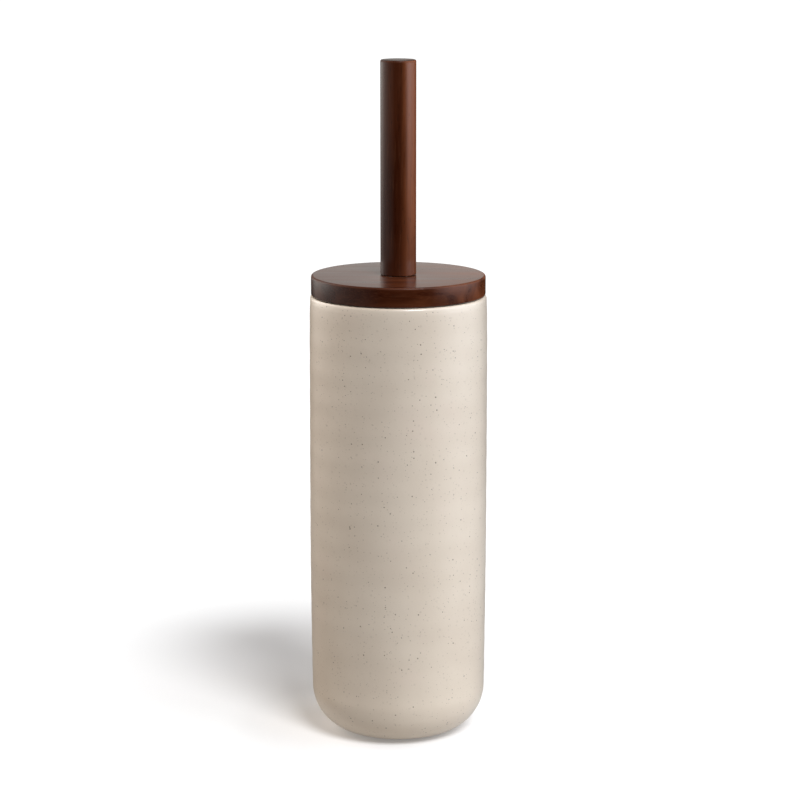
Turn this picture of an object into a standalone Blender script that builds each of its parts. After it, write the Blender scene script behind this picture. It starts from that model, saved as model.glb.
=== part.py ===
"""Toilet brush holder: a stoneware canister, a lift-out liner, and a brush that hangs from a wooden lid.

Run with: blender --background --python part.py
Metres, +Z up. The origin is on the floor, under the middle of the holder. Every joint axis is the Z axis.
"""

import math

import bmesh
import bpy

MM = 0.001
GAP = 0.3 * MM             # air kept between pieces that touch
FINE = 48                  # facets round a large turned piece
COARSE = 24                # facets round a slim one
SMALL = 12                 # facets round a pad or a screw
SHARP = math.radians(35.0)     # edges that turn more than this stay crisp

# Canister
BODY_R = 48.5 * MM         # widest outer radius
BASE_R = 47.8 * MM         # outer radius just above the rounded base
BASE_ROUND_IN = 23.0 * MM  # base rounding, measured inwards
BASE_ROUND_UP = 24.0 * MM  # base rounding, measured upwards
TAPER_TOP = 122.0 * MM     # the wall stops widening here
RIM_TOP = 244.0 * MM
RIM_ROUND = 2.0 * MM
GALLERY_R = 45.0 * MM      # step inside the rim that carries the liner
GALLERY_EDGE = 0.6 * MM
LEDGE = 242.1 * MM
BORE_R = 42.5 * MM
BORE_ROUND = 19.0 * MM
FLOOR_THICK = 6.0 * MM
RECESS_R = 13.0 * MM       # shallow recess under the base
RECESS_DEEP = 1.6 * MM

# Foot pads
PAD_R = 5.0 * MM
PAD_THICK = 1.0 * MM
PAD_CIRCLE_R = 22.0 * MM
PAD_EDGE = 0.2 * MM
PAD_COUNT = 4
PAD_TURN = math.radians(45.0)
FOOT = PAD_THICK + GAP     # underside of the canister

# Liner
LINER_BASE = 10.5 * MM
LINER_WALL = 1.5 * MM
LINER_R_LOW = 40.2 * MM
LINER_R_HIGH = 41.7 * MM
LINER_ROUND = 18.0 * MM
LINER_LIP_IN = 0.5 * MM    # bevel on the inner edge of the liner's mouth, inwards
LINER_LIP_DOWN = 0.8 * MM
FLANGE_R = 44.6 * MM
FLANGE_THICK = 1.3 * MM

# Lid and the plug under it
LID_R = 47.5 * MM
LID_BASE = RIM_TOP + GAP
LID_THICK = 10.8 * MM
LID_EDGE = 0.9 * MM
PLUG_R = 39.4 * MM
PLUG_HIGH = 7.0 * MM
PLUG_BASE = LID_BASE - GAP - PLUG_HIGH
PLUG_PLATE = 2.5 * MM
PLUG_RIM = 4.2 * MM
PLUG_BOSS_R = 10.0 * MM
PLUG_EDGE = 0.6 * MM
BOSS_LOW = 0.6 * MM        # how far the boss stops above the rim's lower edge
GROOVE_R = 38.0 * MM
GROOVE_LOW = 2.3 * MM
GROOVE_HIGH = 4.5 * MM
RING_SECTION_R = 0.8 * MM  # half the thickness of the seal ring

# Screws that hold the plug to the lid
SCREW_COUNT = 3
SCREW_CIRCLE_R = 25.0 * MM
SCREW_SHANK_R = 1.2 * MM
SCREW_HOLE_R = SCREW_SHANK_R + GAP
DRILL_EDGE = 0.1 * MM
SCREW_HEAD_R = 2.8 * MM
SCREW_HEAD_HIGH = 1.7 * MM
SCREW_HEAD_EDGE = 0.7 * MM
SCREW_SOCKET_R = 1.1 * MM
SCREW_SOCKET_DEEP = 0.9 * MM
SCREW_POINT = 1.5 * MM
SCREW_LONG = 8.5 * MM      # under the head
SCREW_HOLE_DEEP = 6.5 * MM     # in the lid

# Handle and the stud through the lid
HANDLE_R = 9.7 * MM
HANDLE_LONG = 116.1 * MM
HANDLE_EDGE = 1.1 * MM     # rounding of the top
HANDLE_FOOT_EDGE = 0.3 * MM
SOCKET_DEEP = 17.5 * MM
INSERT_R = 5.0 * MM
INSERT_LONG = 16.0 * MM
INSERT_LEAD = 1.0 * MM     # plain length at each end
INSERT_BARBS = 3
INSERT_BARB_DEEP = 0.7 * MM
STUD_R = 3.0 * MM
STUD_HOLE_R = STUD_R + GAP
STUD_END = 0.6 * MM        # bevel on threaded ends
STUD_LOW = 215.0 * MM
STUD_LONG = 56.0 * MM

# Stem
WASHER_R = 8.0 * MM
WASHER_THICK = 1.4 * MM
WASHER_EDGE = 0.2 * MM
WASHER_LOW = PLUG_BASE + BOSS_LOW - GAP - WASHER_THICK
COLLAR_R = 9.0 * MM
COLLAR_SLEEVE_R = 7.4 * MM
COLLAR_HIGH = 11.0 * MM
COLLAR_FLANGE = 3.0 * MM
COLLAR_ROUND = 0.8 * MM
COLLAR_LOW = WASHER_LOW - GAP - COLLAR_HIGH
COLLAR_CUP = COLLAR_HIGH - COLLAR_FLANGE   # depth of the collar's bore for the stem
STEM_R = 6.0 * MM
STEM_BORE_R = 5.2 * MM
STEM_EDGE = 0.2 * MM
STEM_TOP = COLLAR_LOW + COLLAR_CUP - GAP
STEM_BASE = 106.5 * MM
STEM_TOP_PLUG_LONG = 18.0 * MM
STEM_TOP_PLUG_EDGE = 0.5 * MM
TIP_LONG = 17.0 * MM       # part of the threaded tip inside the stem
TIP_SHOULDER = 1.6 * MM
TIP_PIN_LONG = 20.0 * MM

# Brush head
CORE_BASE = 38.0 * MM
CORE_HIGH = 64.6 * MM
CORE_R = 8.5 * MM
CORE_FOOT_EDGE = 2.0 * MM
CORE_TOP_EDGE = 1.2 * MM
CORE_SOCKET_SPARE = 1.0 * MM   # air under the end of the tip's pin
GASKET_R = 6.8 * MM
GASKET_EDGE = 0.3 * MM
ROW_COUNT = 8
ROW_FIRST = 46.0 * MM      # height of the middle of the lowest row
ROW_PITCH = 7.4 * MM
ROW_ROOT_R = 10.3 * MM
ROW_ROOT_HALF = 1.5 * MM
ROW_TIP_HALF = 2.8 * MM
TUFTS = 12                 # tufts round one row
HEAD_R = 34.0 * MM         # widest bristle radius
HEAD_NARROW = 6.0 * MM     # how much narrower the end rows are
BARREL = 4                 # the higher, the flatter the head's middle
TUFT_ROOT_HALF = 1.2 * MM
TUFT_TIP_HALF = 3.6 * MM
TIP_BRISTLE_R = 19.0 * MM
TIP_BRISTLE_HIGH = 12.0 * MM
TIP_ROOT_IN = 2.0 * MM     # the tip tufts leave the core between these radii
TIP_ROOT_OUT = 6.0 * MM
TIP_ROOT_HIGH = 4.0 * MM
TIP_END_HIGH = 3.0 * MM


def clear_scene():
    for old in list(bpy.data.objects):
        bpy.data.objects.remove(old, do_unlink=True)


def finish(name, colour, roughness, metallic=0.0):
    """A material for one kind of sub-part."""
    material = bpy.data.materials.new(name)
    material.use_nodes = True
    shader = material.node_tree.nodes["Principled BSDF"]
    shader.inputs["Base Color"].default_value = (*colour, 1.0)
    shader.inputs["Roughness"].default_value = roughness
    shader.inputs["Metallic"].default_value = metallic
    material.diffuse_color = (*colour, 1.0)
    return material


def axis_empty(name, height, parent=None):
    """An empty on the Z axis that carries everything that moves together."""
    empty = bpy.data.objects.new(name, None)
    empty.empty_display_size = 0.02
    empty.parent = parent
    parent_height = parent["height"] if parent else 0.0
    empty["height"] = height
    empty.location = (0.0, 0.0, height - parent_height)
    bpy.context.collection.objects.link(empty)
    return empty


def add_object(name, mesh, material, carrier, height, spot=(0.0, 0.0)):
    """Links a mesh as a named piece at a world height, carried by an empty."""
    piece = bpy.data.objects.new(name, mesh)
    if not mesh.materials:
        mesh.materials.append(material)
    piece.parent = carrier
    piece.location = (spot[0], spot[1], height - carrier["height"])
    bpy.context.collection.objects.link(piece)
    return piece


def mesh_from(name, bm):
    """Turns a bmesh into a mesh with outward faces and smooth round sides."""
    bmesh.ops.recalc_face_normals(bm, faces=bm.faces)
    mesh = bpy.data.meshes.new(name)
    bm.to_mesh(mesh)
    bm.free()
    mesh.shade_smooth()
    mesh.set_sharp_from_angle(angle=SHARP)
    return mesh


def arc(centre, radii, start, end, steps):
    """Points (r, z) along an elliptical arc; angles in degrees from +r towards +z."""
    points = []
    for step in range(steps + 1):
        angle = math.radians(start + (end - start) * step / steps)
        points.append((centre[0] + radii[0] * math.cos(angle), centre[1] + radii[1] * math.sin(angle)))
    return points


def turned_mesh(name, profile, facets, ring=False):
    """Spins a section (r, z) about Z. A solid's section ends on the axis; a ring's closes on itself."""
    bm = bmesh.new()
    loops = []
    for radius, height in profile:
        if radius == 0.0:
            loops.append([bm.verts.new((0.0, 0.0, height))])
            continue
        angles = [2.0 * math.pi * k / facets for k in range(facets)]
        loops.append([bm.verts.new((radius * math.cos(a), radius * math.sin(a), height)) for a in angles])
    pairs = list(zip(loops, loops[1:]))
    if ring:
        pairs.append((loops[-1], loops[0]))
    for lower, upper in pairs:
        for k in range(facets):
            corners = [lower[k % len(lower)], lower[(k + 1) % len(lower)],
                       upper[(k + 1) % len(upper)], upper[k % len(upper)]]
            unique = list(dict.fromkeys(corners))
            bm.faces.new(unique)
    return mesh_from(name, bm)


def turned(name, profile, material, carrier, height, facets=COARSE, ring=False, spot=(0.0, 0.0)):
    mesh = turned_mesh(name, profile, facets, ring)
    return add_object(name, mesh, material, carrier, height, spot)


def tube_section(inner, outer, high, edge):
    """A ring section with the outer edges broken."""
    lower = [(inner, 0.0), (outer - edge, 0.0), (outer, edge)]
    upper = [(outer, high - edge), (outer - edge, high), (inner, high)]
    return lower + upper


def rod_section(radius, high, edge):
    """A solid rod section with both ends chamfered."""
    return tube_section(0.0, radius, high, edge)


def ring_of_spots(count, radius, turn=0.0):
    """Evenly spaced (x, y) places on a circle."""
    spots = []
    for k in range(count):
        angle = 2.0 * math.pi * k / count + turn
        spots.append((radius * math.cos(angle), radius * math.sin(angle)))
    return spots


def cut(piece, cutter):
    """Subtracts a hidden cutter from a piece."""
    cutter.hide_render = True
    cutter.display_type = "WIRE"
    boolean = piece.modifiers.new(cutter.name, "BOOLEAN")
    boolean.operation = "DIFFERENCE"
    boolean.solver = "EXACT"
    boolean.object = cutter


def wall_radius(height):
    """Outer radius of the canister between the rounded base and the top of its taper."""
    low = FOOT + BASE_ROUND_UP
    share = (height - low) / (TAPER_TOP - low)
    return BASE_R + (BODY_R - BASE_R) * math.sin(0.5 * math.pi * share)


def build_canister(carrier, stoneware):
    """The stoneware body: rounded base, gentle taper, soft rim and a ledge inside the mouth."""
    floor = FOOT + FLOOR_THICK
    low = FOOT + BASE_ROUND_UP
    section = [(0.0, FOOT + RECESS_DEEP), (RECESS_R - RECESS_DEEP, FOOT + RECESS_DEEP), (RECESS_R, FOOT)]
    section += arc((BASE_R - BASE_ROUND_IN, low), (BASE_ROUND_IN, BASE_ROUND_UP), -90.0, 0.0, 7)
    for share in (0.25, 0.5, 0.75, 1.0):
        height = low + (TAPER_TOP - low) * share
        section.append((wall_radius(height), height))
    section += arc((BODY_R - RIM_ROUND, RIM_TOP - RIM_ROUND), (RIM_ROUND, RIM_ROUND), 0.0, 90.0, 3)
    section += [(GALLERY_R + GALLERY_EDGE, RIM_TOP), (GALLERY_R, RIM_TOP - GALLERY_EDGE)]
    section += [(GALLERY_R, LEDGE), (BORE_R, LEDGE)]
    section += arc((BORE_R - BORE_ROUND, floor + BORE_ROUND), (BORE_ROUND, BORE_ROUND), 0.0, -90.0, 4)
    section.append((0.0, floor))
    turned("canister", section, stoneware, carrier, 0.0, FINE)


def build_foot_pads(carrier, rubber):
    """Soft discs under the base; only they touch the floor."""
    section = rod_section(PAD_R, PAD_THICK, PAD_EDGE)
    mesh = turned_mesh("foot_pad", section, SMALL)
    spots = ring_of_spots(PAD_COUNT, PAD_CIRCLE_R, PAD_TURN)
    for number, spot in enumerate(spots, 1):
        add_object(f"foot_pad_{number}", mesh, rubber, carrier, 0.0, spot)


def build_liner(carrier, plastic):
    """The lift-out cup that catches drips; its flange hangs on the canister's ledge."""
    flange_low = LEDGE + GAP - LINER_BASE
    flange_top = flange_low + FLANGE_THICK
    inner_round = LINER_ROUND - LINER_WALL
    inner_low = LINER_R_LOW - LINER_WALL
    inner_high = LINER_R_HIGH - LINER_WALL
    section = [(0.0, 0.0)]
    section += arc((LINER_R_LOW - LINER_ROUND, LINER_ROUND), (LINER_ROUND, LINER_ROUND), -90.0, 0.0, 4)
    section += [(LINER_R_HIGH, flange_low), (FLANGE_R, flange_low), (FLANGE_R, flange_top)]
    section += [(inner_high + LINER_LIP_IN, flange_top), (inner_high, flange_top - LINER_LIP_DOWN)]
    section += arc((inner_low - inner_round, LINER_ROUND), (inner_round, inner_round), 0.0, -90.0, 4)
    section.append((0.0, LINER_WALL))
    turned("liner", section, plastic, carrier, LINER_BASE, FINE)


def build_seal_ring(carrier, silicone):
    """The soft ring in the plug's groove; it stays still on the liner's mouth while the lid turns."""
    middle = 0.5 * (GROOVE_LOW + GROOVE_HIGH)
    centre_r = GROOVE_R + GAP + RING_SECTION_R
    section = arc((centre_r, middle), (RING_SECTION_R, RING_SECTION_R), 0.0, 300.0, 5)
    turned("seal_ring", section, silicone, carrier, PLUG_BASE, FINE, ring=True)


def build_lid(carrier, wood, screw_spots):
    """The wooden disc, bored for the stud and for the plug's screws."""
    section = [(STUD_HOLE_R, 0.0), (LID_R - LID_EDGE, 0.0)]
    section += arc((LID_R - LID_EDGE, LID_EDGE), (LID_EDGE, LID_EDGE), -60.0, 0.0, 2)
    section += arc((LID_R - LID_EDGE, LID_THICK - LID_EDGE), (LID_EDGE, LID_EDGE), 0.0, 90.0, 3)
    section.append((STUD_HOLE_R, LID_THICK))
    lid = turned("lid", section, wood, carrier, LID_BASE, FINE, ring=True)
    for number, spot in enumerate(screw_spots, 1):
        bit = rod_section(SCREW_HOLE_R, 2.0 * SCREW_HOLE_DEEP, DRILL_EDGE)
        drill_low = LID_BASE - SCREW_HOLE_DEEP
        drill = turned(f"lid_drill_{number}", bit, wood, carrier, drill_low, SMALL, spot=spot)
        cut(lid, drill)


def build_lid_plug(carrier, plastic, screw_spots):
    """The moulded plug under the lid: a plate, a rim with the ring's groove, and a boss for the stud."""
    plate_low = PLUG_HIGH - PLUG_PLATE
    rim_in = PLUG_R - PLUG_RIM
    section = [(STUD_HOLE_R, BOSS_LOW), (PLUG_BOSS_R, BOSS_LOW), (PLUG_BOSS_R, plate_low)]
    section += [(rim_in, plate_low), (rim_in, 0.0), (PLUG_R - PLUG_EDGE, 0.0), (PLUG_R, PLUG_EDGE)]
    section += [(PLUG_R, GROOVE_LOW), (GROOVE_R, GROOVE_LOW), (GROOVE_R, GROOVE_HIGH), (PLUG_R, GROOVE_HIGH)]
    section += [(PLUG_R, PLUG_HIGH), (STUD_HOLE_R, PLUG_HIGH)]
    plug = turned("lid_plug", section, plastic, carrier, PLUG_BASE, FINE, ring=True)
    drill_low = PLUG_BASE - 0.5 * PLUG_HIGH
    for number, spot in enumerate(screw_spots, 1):
        bit = rod_section(SCREW_HOLE_R, 2.0 * PLUG_HIGH, DRILL_EDGE)
        drill = turned(f"plug_drill_{number}", bit, plastic, carrier, drill_low, SMALL, spot=spot)
        cut(plug, drill)


def build_screws(carrier, steel, screw_spots):
    """Screws up through the plug into the lid, each with a driver socket in its head."""
    head_low = PLUG_BASE + PLUG_HIGH - PLUG_PLATE - GAP - SCREW_HEAD_HIGH
    top = SCREW_HEAD_HIGH + SCREW_LONG
    section = [(0.0, SCREW_SOCKET_DEEP), (SCREW_SOCKET_R, SCREW_SOCKET_DEEP), (SCREW_SOCKET_R, 0.0)]
    section += [(SCREW_HEAD_R - SCREW_HEAD_EDGE, 0.0), (SCREW_HEAD_R, SCREW_HEAD_EDGE)]
    section += [(SCREW_HEAD_R, SCREW_HEAD_HIGH), (SCREW_SHANK_R, SCREW_HEAD_HIGH)]
    section += [(SCREW_SHANK_R, top - SCREW_POINT), (0.0, top)]
    mesh = turned_mesh("plug_screw", section, SMALL)
    for number, spot in enumerate(screw_spots, 1):
        add_object(f"plug_screw_{number}", mesh, steel, carrier, head_low, spot)


def build_handle(carrier, wood):
    """The wooden dowel, with a blind socket in its foot for the threaded insert."""
    socket_r = INSERT_R + GAP
    section = [(0.0, SOCKET_DEEP), (socket_r, SOCKET_DEEP), (socket_r, 0.0)]
    section += [(HANDLE_R - HANDLE_FOOT_EDGE, 0.0), (HANDLE_R, HANDLE_FOOT_EDGE)]
    top = HANDLE_LONG - HANDLE_EDGE
    section += arc((HANDLE_R - HANDLE_EDGE, top), (HANDLE_EDGE, HANDLE_EDGE), 0.0, 90.0, 3)
    section.append((0.0, HANDLE_LONG))
    turned("handle", section, wood, carrier, LID_BASE + LID_THICK + GAP)


def build_handle_insert(carrier, brass):
    """The barbed brass insert that the stud screws into."""
    section = [(STUD_HOLE_R, 0.0), (INSERT_R, 0.0)]
    barb = (INSERT_LONG - 2.0 * INSERT_LEAD) / INSERT_BARBS
    waist_r = INSERT_R - INSERT_BARB_DEEP
    for step in range(INSERT_BARBS):
        low = INSERT_LEAD + step * barb
        section += [(INSERT_R, low + 0.5 * barb), (waist_r, low + barb)]
    section += [(waist_r, INSERT_LONG), (STUD_HOLE_R, INSERT_LONG)]
    turned("handle_insert", section, brass, carrier, LID_BASE + LID_THICK + 3.0 * GAP, COARSE, ring=True)


def build_stud(carrier, steel):
    """The threaded rod from the stem, through plug and lid, into the handle."""
    turned("lid_stud", rod_section(STUD_R, STUD_LONG, STUD_END), steel, carrier, STUD_LOW)


def build_clamp(carrier, steel, plain_steel):
    """The washer under the plug's boss, and the collar that hides the stem's top."""
    washer = tube_section(STUD_HOLE_R, WASHER_R, WASHER_THICK, WASHER_EDGE)
    turned("clamp_washer", washer, plain_steel, carrier, WASHER_LOW, ring=True)
    hole = STEM_R + GAP
    section = [(hole, 0.0), (COLLAR_SLEEVE_R, 0.0), (COLLAR_SLEEVE_R, COLLAR_CUP - GAP)]
    corner = (COLLAR_R - COLLAR_ROUND, COLLAR_CUP + COLLAR_ROUND)
    section += arc(corner, (COLLAR_ROUND, COLLAR_ROUND), -90.0, 0.0, 2)
    section += [(COLLAR_R, COLLAR_HIGH), (STUD_HOLE_R, COLLAR_HIGH), (STUD_HOLE_R, COLLAR_CUP)]
    section.append((hole, COLLAR_CUP))
    turned("stem_collar", section, steel, carrier, COLLAR_LOW, ring=True)


def build_stem(carrier, steel, plain_steel):
    """The tube, and the threaded plugs in its two ends."""
    tube = tube_section(STEM_BORE_R, STEM_R, STEM_TOP - STEM_BASE, STEM_EDGE)
    turned("stem", tube, steel, carrier, STEM_BASE, ring=True)
    inside_r = STEM_BORE_R - GAP
    plug = tube_section(STUD_HOLE_R, inside_r, STEM_TOP_PLUG_LONG, STEM_TOP_PLUG_EDGE)
    turned("stem_top_plug", plug, plain_steel, carrier, STEM_TOP - GAP - STEM_TOP_PLUG_LONG, ring=True)
    shoulder_top = TIP_PIN_LONG + TIP_SHOULDER
    section = [(0.0, 0.0), (STUD_R - STUD_END, 0.0), (STUD_R, STUD_END), (STUD_R, TIP_PIN_LONG)]
    section += [(STEM_R, TIP_PIN_LONG), (STEM_R, shoulder_top), (inside_r, shoulder_top)]
    section += [(inside_r, shoulder_top + TIP_LONG), (0.0, shoulder_top + TIP_LONG)]
    turned("stem_tip", section, plain_steel, carrier, STEM_BASE - GAP - shoulder_top)


def build_head_core(carrier, plastic, rubber):
    """The moulded core that holds the bristles, screwed on the stem's tip over a rubber gasket."""
    socket_low = CORE_HIGH - TIP_PIN_LONG - CORE_SOCKET_SPARE
    section = [(0.0, 0.0), (CORE_R - CORE_FOOT_EDGE, 0.0), (CORE_R, CORE_FOOT_EDGE)]
    section += [(CORE_R, CORE_HIGH - CORE_TOP_EDGE), (CORE_R - CORE_TOP_EDGE, CORE_HIGH)]
    section += [(STUD_HOLE_R, CORE_HIGH), (STUD_HOLE_R, socket_low), (0.0, socket_low)]
    turned("head_core", section, plastic, carrier, CORE_BASE)
    core_top = CORE_BASE + CORE_HIGH
    gasket_high = STEM_BASE - GAP - TIP_SHOULDER - GAP - (core_top + GAP)
    gasket = tube_section(STUD_HOLE_R, GASKET_R, gasket_high, GASKET_EDGE)
    turned("head_gasket", gasket, rubber, carrier, core_top + GAP, ring=True)


def join_levels(bm, here, there, near, far):
    """The lower and upper faces between two neighbouring edges of a ring of tufts."""
    for level in (0, 1):
        bm.faces.new((here[near][level], here[far][level], there[far][level], there[near][level]))


def join_band(bm, here, there, band):
    """The upright face between two neighbouring edges, at one band."""
    bm.faces.new((here[band][0], there[band][0], there[band][1], here[band][1]))


def tuft_ring(name, root, tips, tuft_count, turn):
    """A ring of tufts, each running from the root band at the core out to the tips.

    The root is (inner radius, radius, low z, high z) and the tips are (radius, low z, high z).
    """
    bm = bmesh.new()
    inner_r, root_r, root_low, root_high = root
    tip_r, tip_low, tip_high = tips

    def point(radius, angle, height):
        return bm.verts.new((radius * math.cos(angle), radius * math.sin(angle), height))

    bands = []
    for k in range(tuft_count):
        middle = 2.0 * math.pi * k / tuft_count + turn
        root_half = TUFT_ROOT_HALF / root_r
        tip_half = TUFT_TIP_HALF / tip_r
        for side in (-1.0, 1.0):
            angle = middle + side * root_half
            bands.append({
                "inner": (point(inner_r, angle, root_low), point(inner_r, angle, root_high)),
                "root": (point(root_r, angle, root_low), point(root_r, angle, root_high)),
                "tip": (point(tip_r, middle + side * tip_half, tip_low),
                        point(tip_r, middle + side * tip_half, tip_high)),
            })
    total = len(bands)
    for k in range(total):
        here = bands[k]
        there = bands[(k + 1) % total]
        join_levels(bm, here, there, "inner", "root")
        join_band(bm, here, there, "inner")
        if k % 2:
            join_band(bm, here, there, "root")
            continue
        join_levels(bm, here, there, "root", "tip")
        join_band(bm, here, there, "tip")
        for side in (here, there):
            bm.faces.new((side["root"][0], side["tip"][0], side["tip"][1], side["root"][1]))
    return mesh_from(name, bm)


def row_radius(number):
    """Bristle radius of a row: the end rows are narrower, so the head is barrel shaped."""
    share = 2.0 * number / (ROW_COUNT - 1) - 1.0
    return HEAD_R - HEAD_NARROW * share ** BARREL


def build_bristle_rows(carrier, nylon):
    """Rows of tufts round the core, each row turned half a tuft from the one below."""
    inner_r = CORE_R + GAP
    half_turn = math.pi / TUFTS
    root = (inner_r, ROW_ROOT_R, -ROW_ROOT_HALF, ROW_ROOT_HALF)
    for number in range(ROW_COUNT):
        tips = (row_radius(number), -ROW_TIP_HALF, ROW_TIP_HALF)
        mesh = tuft_ring(f"bristle_row_{number + 1}", root, tips, TUFTS, half_turn * (number % 2))
        add_object(f"bristle_row_{number + 1}", mesh, nylon, carrier, ROW_FIRST + number * ROW_PITCH)


def build_bristle_tip(carrier, nylon):
    """The bristles under the head, flaring down and out from the core's foot."""
    root = (TIP_ROOT_IN, TIP_ROOT_OUT, TIP_BRISTLE_HIGH - TIP_ROOT_HIGH, TIP_BRISTLE_HIGH)
    tips = (TIP_BRISTLE_R, 0.0, TIP_END_HIGH)
    mesh = tuft_ring("bristle_tip", root, tips, TUFTS // 2, 0.0)
    add_object("bristle_tip", mesh, nylon, carrier, CORE_BASE - GAP - TIP_BRISTLE_HIGH)


def main():
    clear_scene()
    stoneware = finish("stoneware_glaze", (0.72, 0.66, 0.56), 0.35)
    dark_wood = finish("dark_wood", (0.075, 0.030, 0.014), 0.38)
    white_plastic = finish("white_plastic", (0.82, 0.82, 0.80), 0.40)
    grey_plastic = finish("grey_plastic", (0.50, 0.49, 0.47), 0.45)
    silicone = finish("silicone", (0.30, 0.29, 0.28), 0.60)
    rubber = finish("rubber", (0.06, 0.06, 0.06), 0.75)
    steel = finish("brushed_steel", (0.58, 0.57, 0.55), 0.28, 1.0)
    plain_steel = finish("zinc_steel", (0.52, 0.53, 0.55), 0.40, 1.0)
    brass = finish("brass", (0.78, 0.57, 0.25), 0.30, 1.0)
    nylon = finish("white_nylon", (0.86, 0.86, 0.84), 0.50)

    holder = axis_empty("holder_base", 0.0)
    liner_carrier = axis_empty("liner_axis", LEDGE, holder)
    ring_carrier = axis_empty("ring_axis", LID_BASE, liner_carrier)
    brush_carrier = axis_empty("brush_axis", LID_BASE, ring_carrier)
    mid_facet = 0.5 * math.pi + math.pi / FINE
    screw_spots = ring_of_spots(SCREW_COUNT, SCREW_CIRCLE_R, mid_facet)

    build_canister(holder, stoneware)
    build_foot_pads(holder, rubber)
    build_liner(liner_carrier, grey_plastic)
    build_seal_ring(ring_carrier, silicone)
    build_lid(brush_carrier, dark_wood, screw_spots)
    build_lid_plug(brush_carrier, white_plastic, screw_spots)
    build_screws(brush_carrier, plain_steel, screw_spots)
    build_handle(brush_carrier, dark_wood)
    build_handle_insert(brush_carrier, brass)
    build_stud(brush_carrier, plain_steel)
    build_clamp(brush_carrier, steel, plain_steel)
    build_stem(brush_carrier, steel, plain_steel)
    build_head_core(brush_carrier, white_plastic, rubber)
    build_bristle_rows(brush_carrier, nylon)
    build_bristle_tip(brush_carrier, nylon)


main()
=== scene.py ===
"""Looks of the toilet brush holder: speckled stoneware canister, dark wooden lid and handle, and brush."""
import math
import random

import bmesh
import bpy
from mathutils import Matrix, Vector


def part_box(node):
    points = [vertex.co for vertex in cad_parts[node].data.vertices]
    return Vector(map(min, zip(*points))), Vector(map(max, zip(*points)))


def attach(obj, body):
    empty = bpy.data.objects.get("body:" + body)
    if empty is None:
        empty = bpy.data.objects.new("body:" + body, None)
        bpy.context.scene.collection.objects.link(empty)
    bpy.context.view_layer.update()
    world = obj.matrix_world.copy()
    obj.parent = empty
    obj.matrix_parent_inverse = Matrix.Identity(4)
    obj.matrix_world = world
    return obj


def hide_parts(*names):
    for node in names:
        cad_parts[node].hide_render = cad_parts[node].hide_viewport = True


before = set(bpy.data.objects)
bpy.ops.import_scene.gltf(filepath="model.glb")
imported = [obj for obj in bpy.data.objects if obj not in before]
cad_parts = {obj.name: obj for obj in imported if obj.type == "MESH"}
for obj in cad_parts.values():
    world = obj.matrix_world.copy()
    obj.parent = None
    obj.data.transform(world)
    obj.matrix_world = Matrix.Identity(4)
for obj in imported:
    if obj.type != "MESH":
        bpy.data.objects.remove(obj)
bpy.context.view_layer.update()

MM = 0.001
SMOOTH_TURN = 192       # facets round the large turned pieces
SLIM_TURN = 96          # round the slim ones
PAD_TURN = 48           # round the foot pads
SCREW_TURN = 36         # and round the screws
ON_AXIS = 1e-7          # a radius below this counts as a point on the axis

# colours, in linear light
GLAZE_DARK = (0.680, 0.568, 0.450)
GLAZE_LIGHT = (0.725, 0.614, 0.491)
GLAZE_ROSY = (0.725, 0.588, 0.480)
# the broken glaze at the rim, also the colour of the painted shade on the lower body
GLAZE_BREAK_AND_SHADE = (0.520, 0.420, 0.310)
CLAY_DARK = (0.300, 0.215, 0.150)
CLAY_LIGHT = (0.420, 0.320, 0.235)
SPECK_SOFT = (0.230, 0.160, 0.110)
SPECK_IRON = (0.110, 0.066, 0.042)
WOOD_DARK = (0.030, 0.0052, 0.0014)
WOOD_MID = (0.066, 0.0160, 0.0055)
# the paler wood of the painted lit side, also used for worn edges
WOOD_LIT_AND_WORN = (0.200, 0.056, 0.0170)
WOOD_FLECK = (0.190, 0.075, 0.0340)
WOOD_PORE = (0.010, 0.0030, 0.0015)
NYLON_GREY = (0.70, 0.71, 0.70)
NYLON_WHITE = (0.86, 0.86, 0.85)
PLAIN_WHITE = (1.0, 1.0, 1.0)
BLACK = (0.0, 0.0, 0.0)


# ---------------------------------------------------------------- sections and meshes

def arc(centre, radii, start, end, steps):
    """Points (r, z) along an elliptical arc; angles in degrees from +r towards +z."""
    points = []
    for step in range(steps + 1):
        angle = math.radians(start + (end - start) * step / steps)
        points.append((centre[0] + radii[0] * math.cos(angle), centre[1] + radii[1] * math.sin(angle)))
    return points


def rounded(corners, steps=5, closed=False):
    """A section from corners (r, z, radius), each corner's radius turned into an arc."""
    count = len(corners)
    points = []
    for k, (r, z, radius) in enumerate(corners):
        here = Vector((r, z))
        at_end = not closed and k in (0, count - 1)
        if radius <= 0.0 or at_end:
            points.append((r, z))
            continue
        before = (Vector(corners[k - 1][:2]) - here).normalized()
        after = (Vector(corners[(k + 1) % count][:2]) - here).normalized()
        half = 0.5 * before.angle(after)
        centre = here + (before + after).normalized() * (radius / math.sin(half))
        reach = radius / math.tan(half)
        first = here + before * reach - centre
        last = here + after * reach - centre
        sweep = first.angle(last)
        for step in range(steps + 1):
            share = step / steps
            spoke = first * math.sin((1.0 - share) * sweep) + last * math.sin(share * sweep)
            points.append(tuple(centre + spoke / math.sin(sweep)))
    return points


def turned_bmesh(section, facets, closed=False, offset=None):
    """Spins a section about Z. offset(angle, height, radius) adds to the radius."""
    bm = bmesh.new()
    loops = []
    for radius, height in section:
        if radius < ON_AXIS:
            loops.append([bm.verts.new((0.0, 0.0, height))])
            continue
        loop = []
        for k in range(facets):
            angle = 2.0 * math.pi * k / facets
            reach = radius + (offset(angle, height, radius) if offset else 0.0)
            loop.append(bm.verts.new((reach * math.cos(angle), reach * math.sin(angle), height)))
        loops.append(loop)
    pairs = list(zip(loops, loops[1:]))
    if closed:
        pairs.append((loops[-1], loops[0]))
    for lower, upper in pairs:
        for k in range(facets):
            corners = [lower[k % len(lower)], lower[(k + 1) % len(lower)],
                       upper[(k + 1) % len(upper)], upper[k % len(upper)]]
            bm.faces.new(list(dict.fromkeys(corners)))
    return bm


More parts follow.
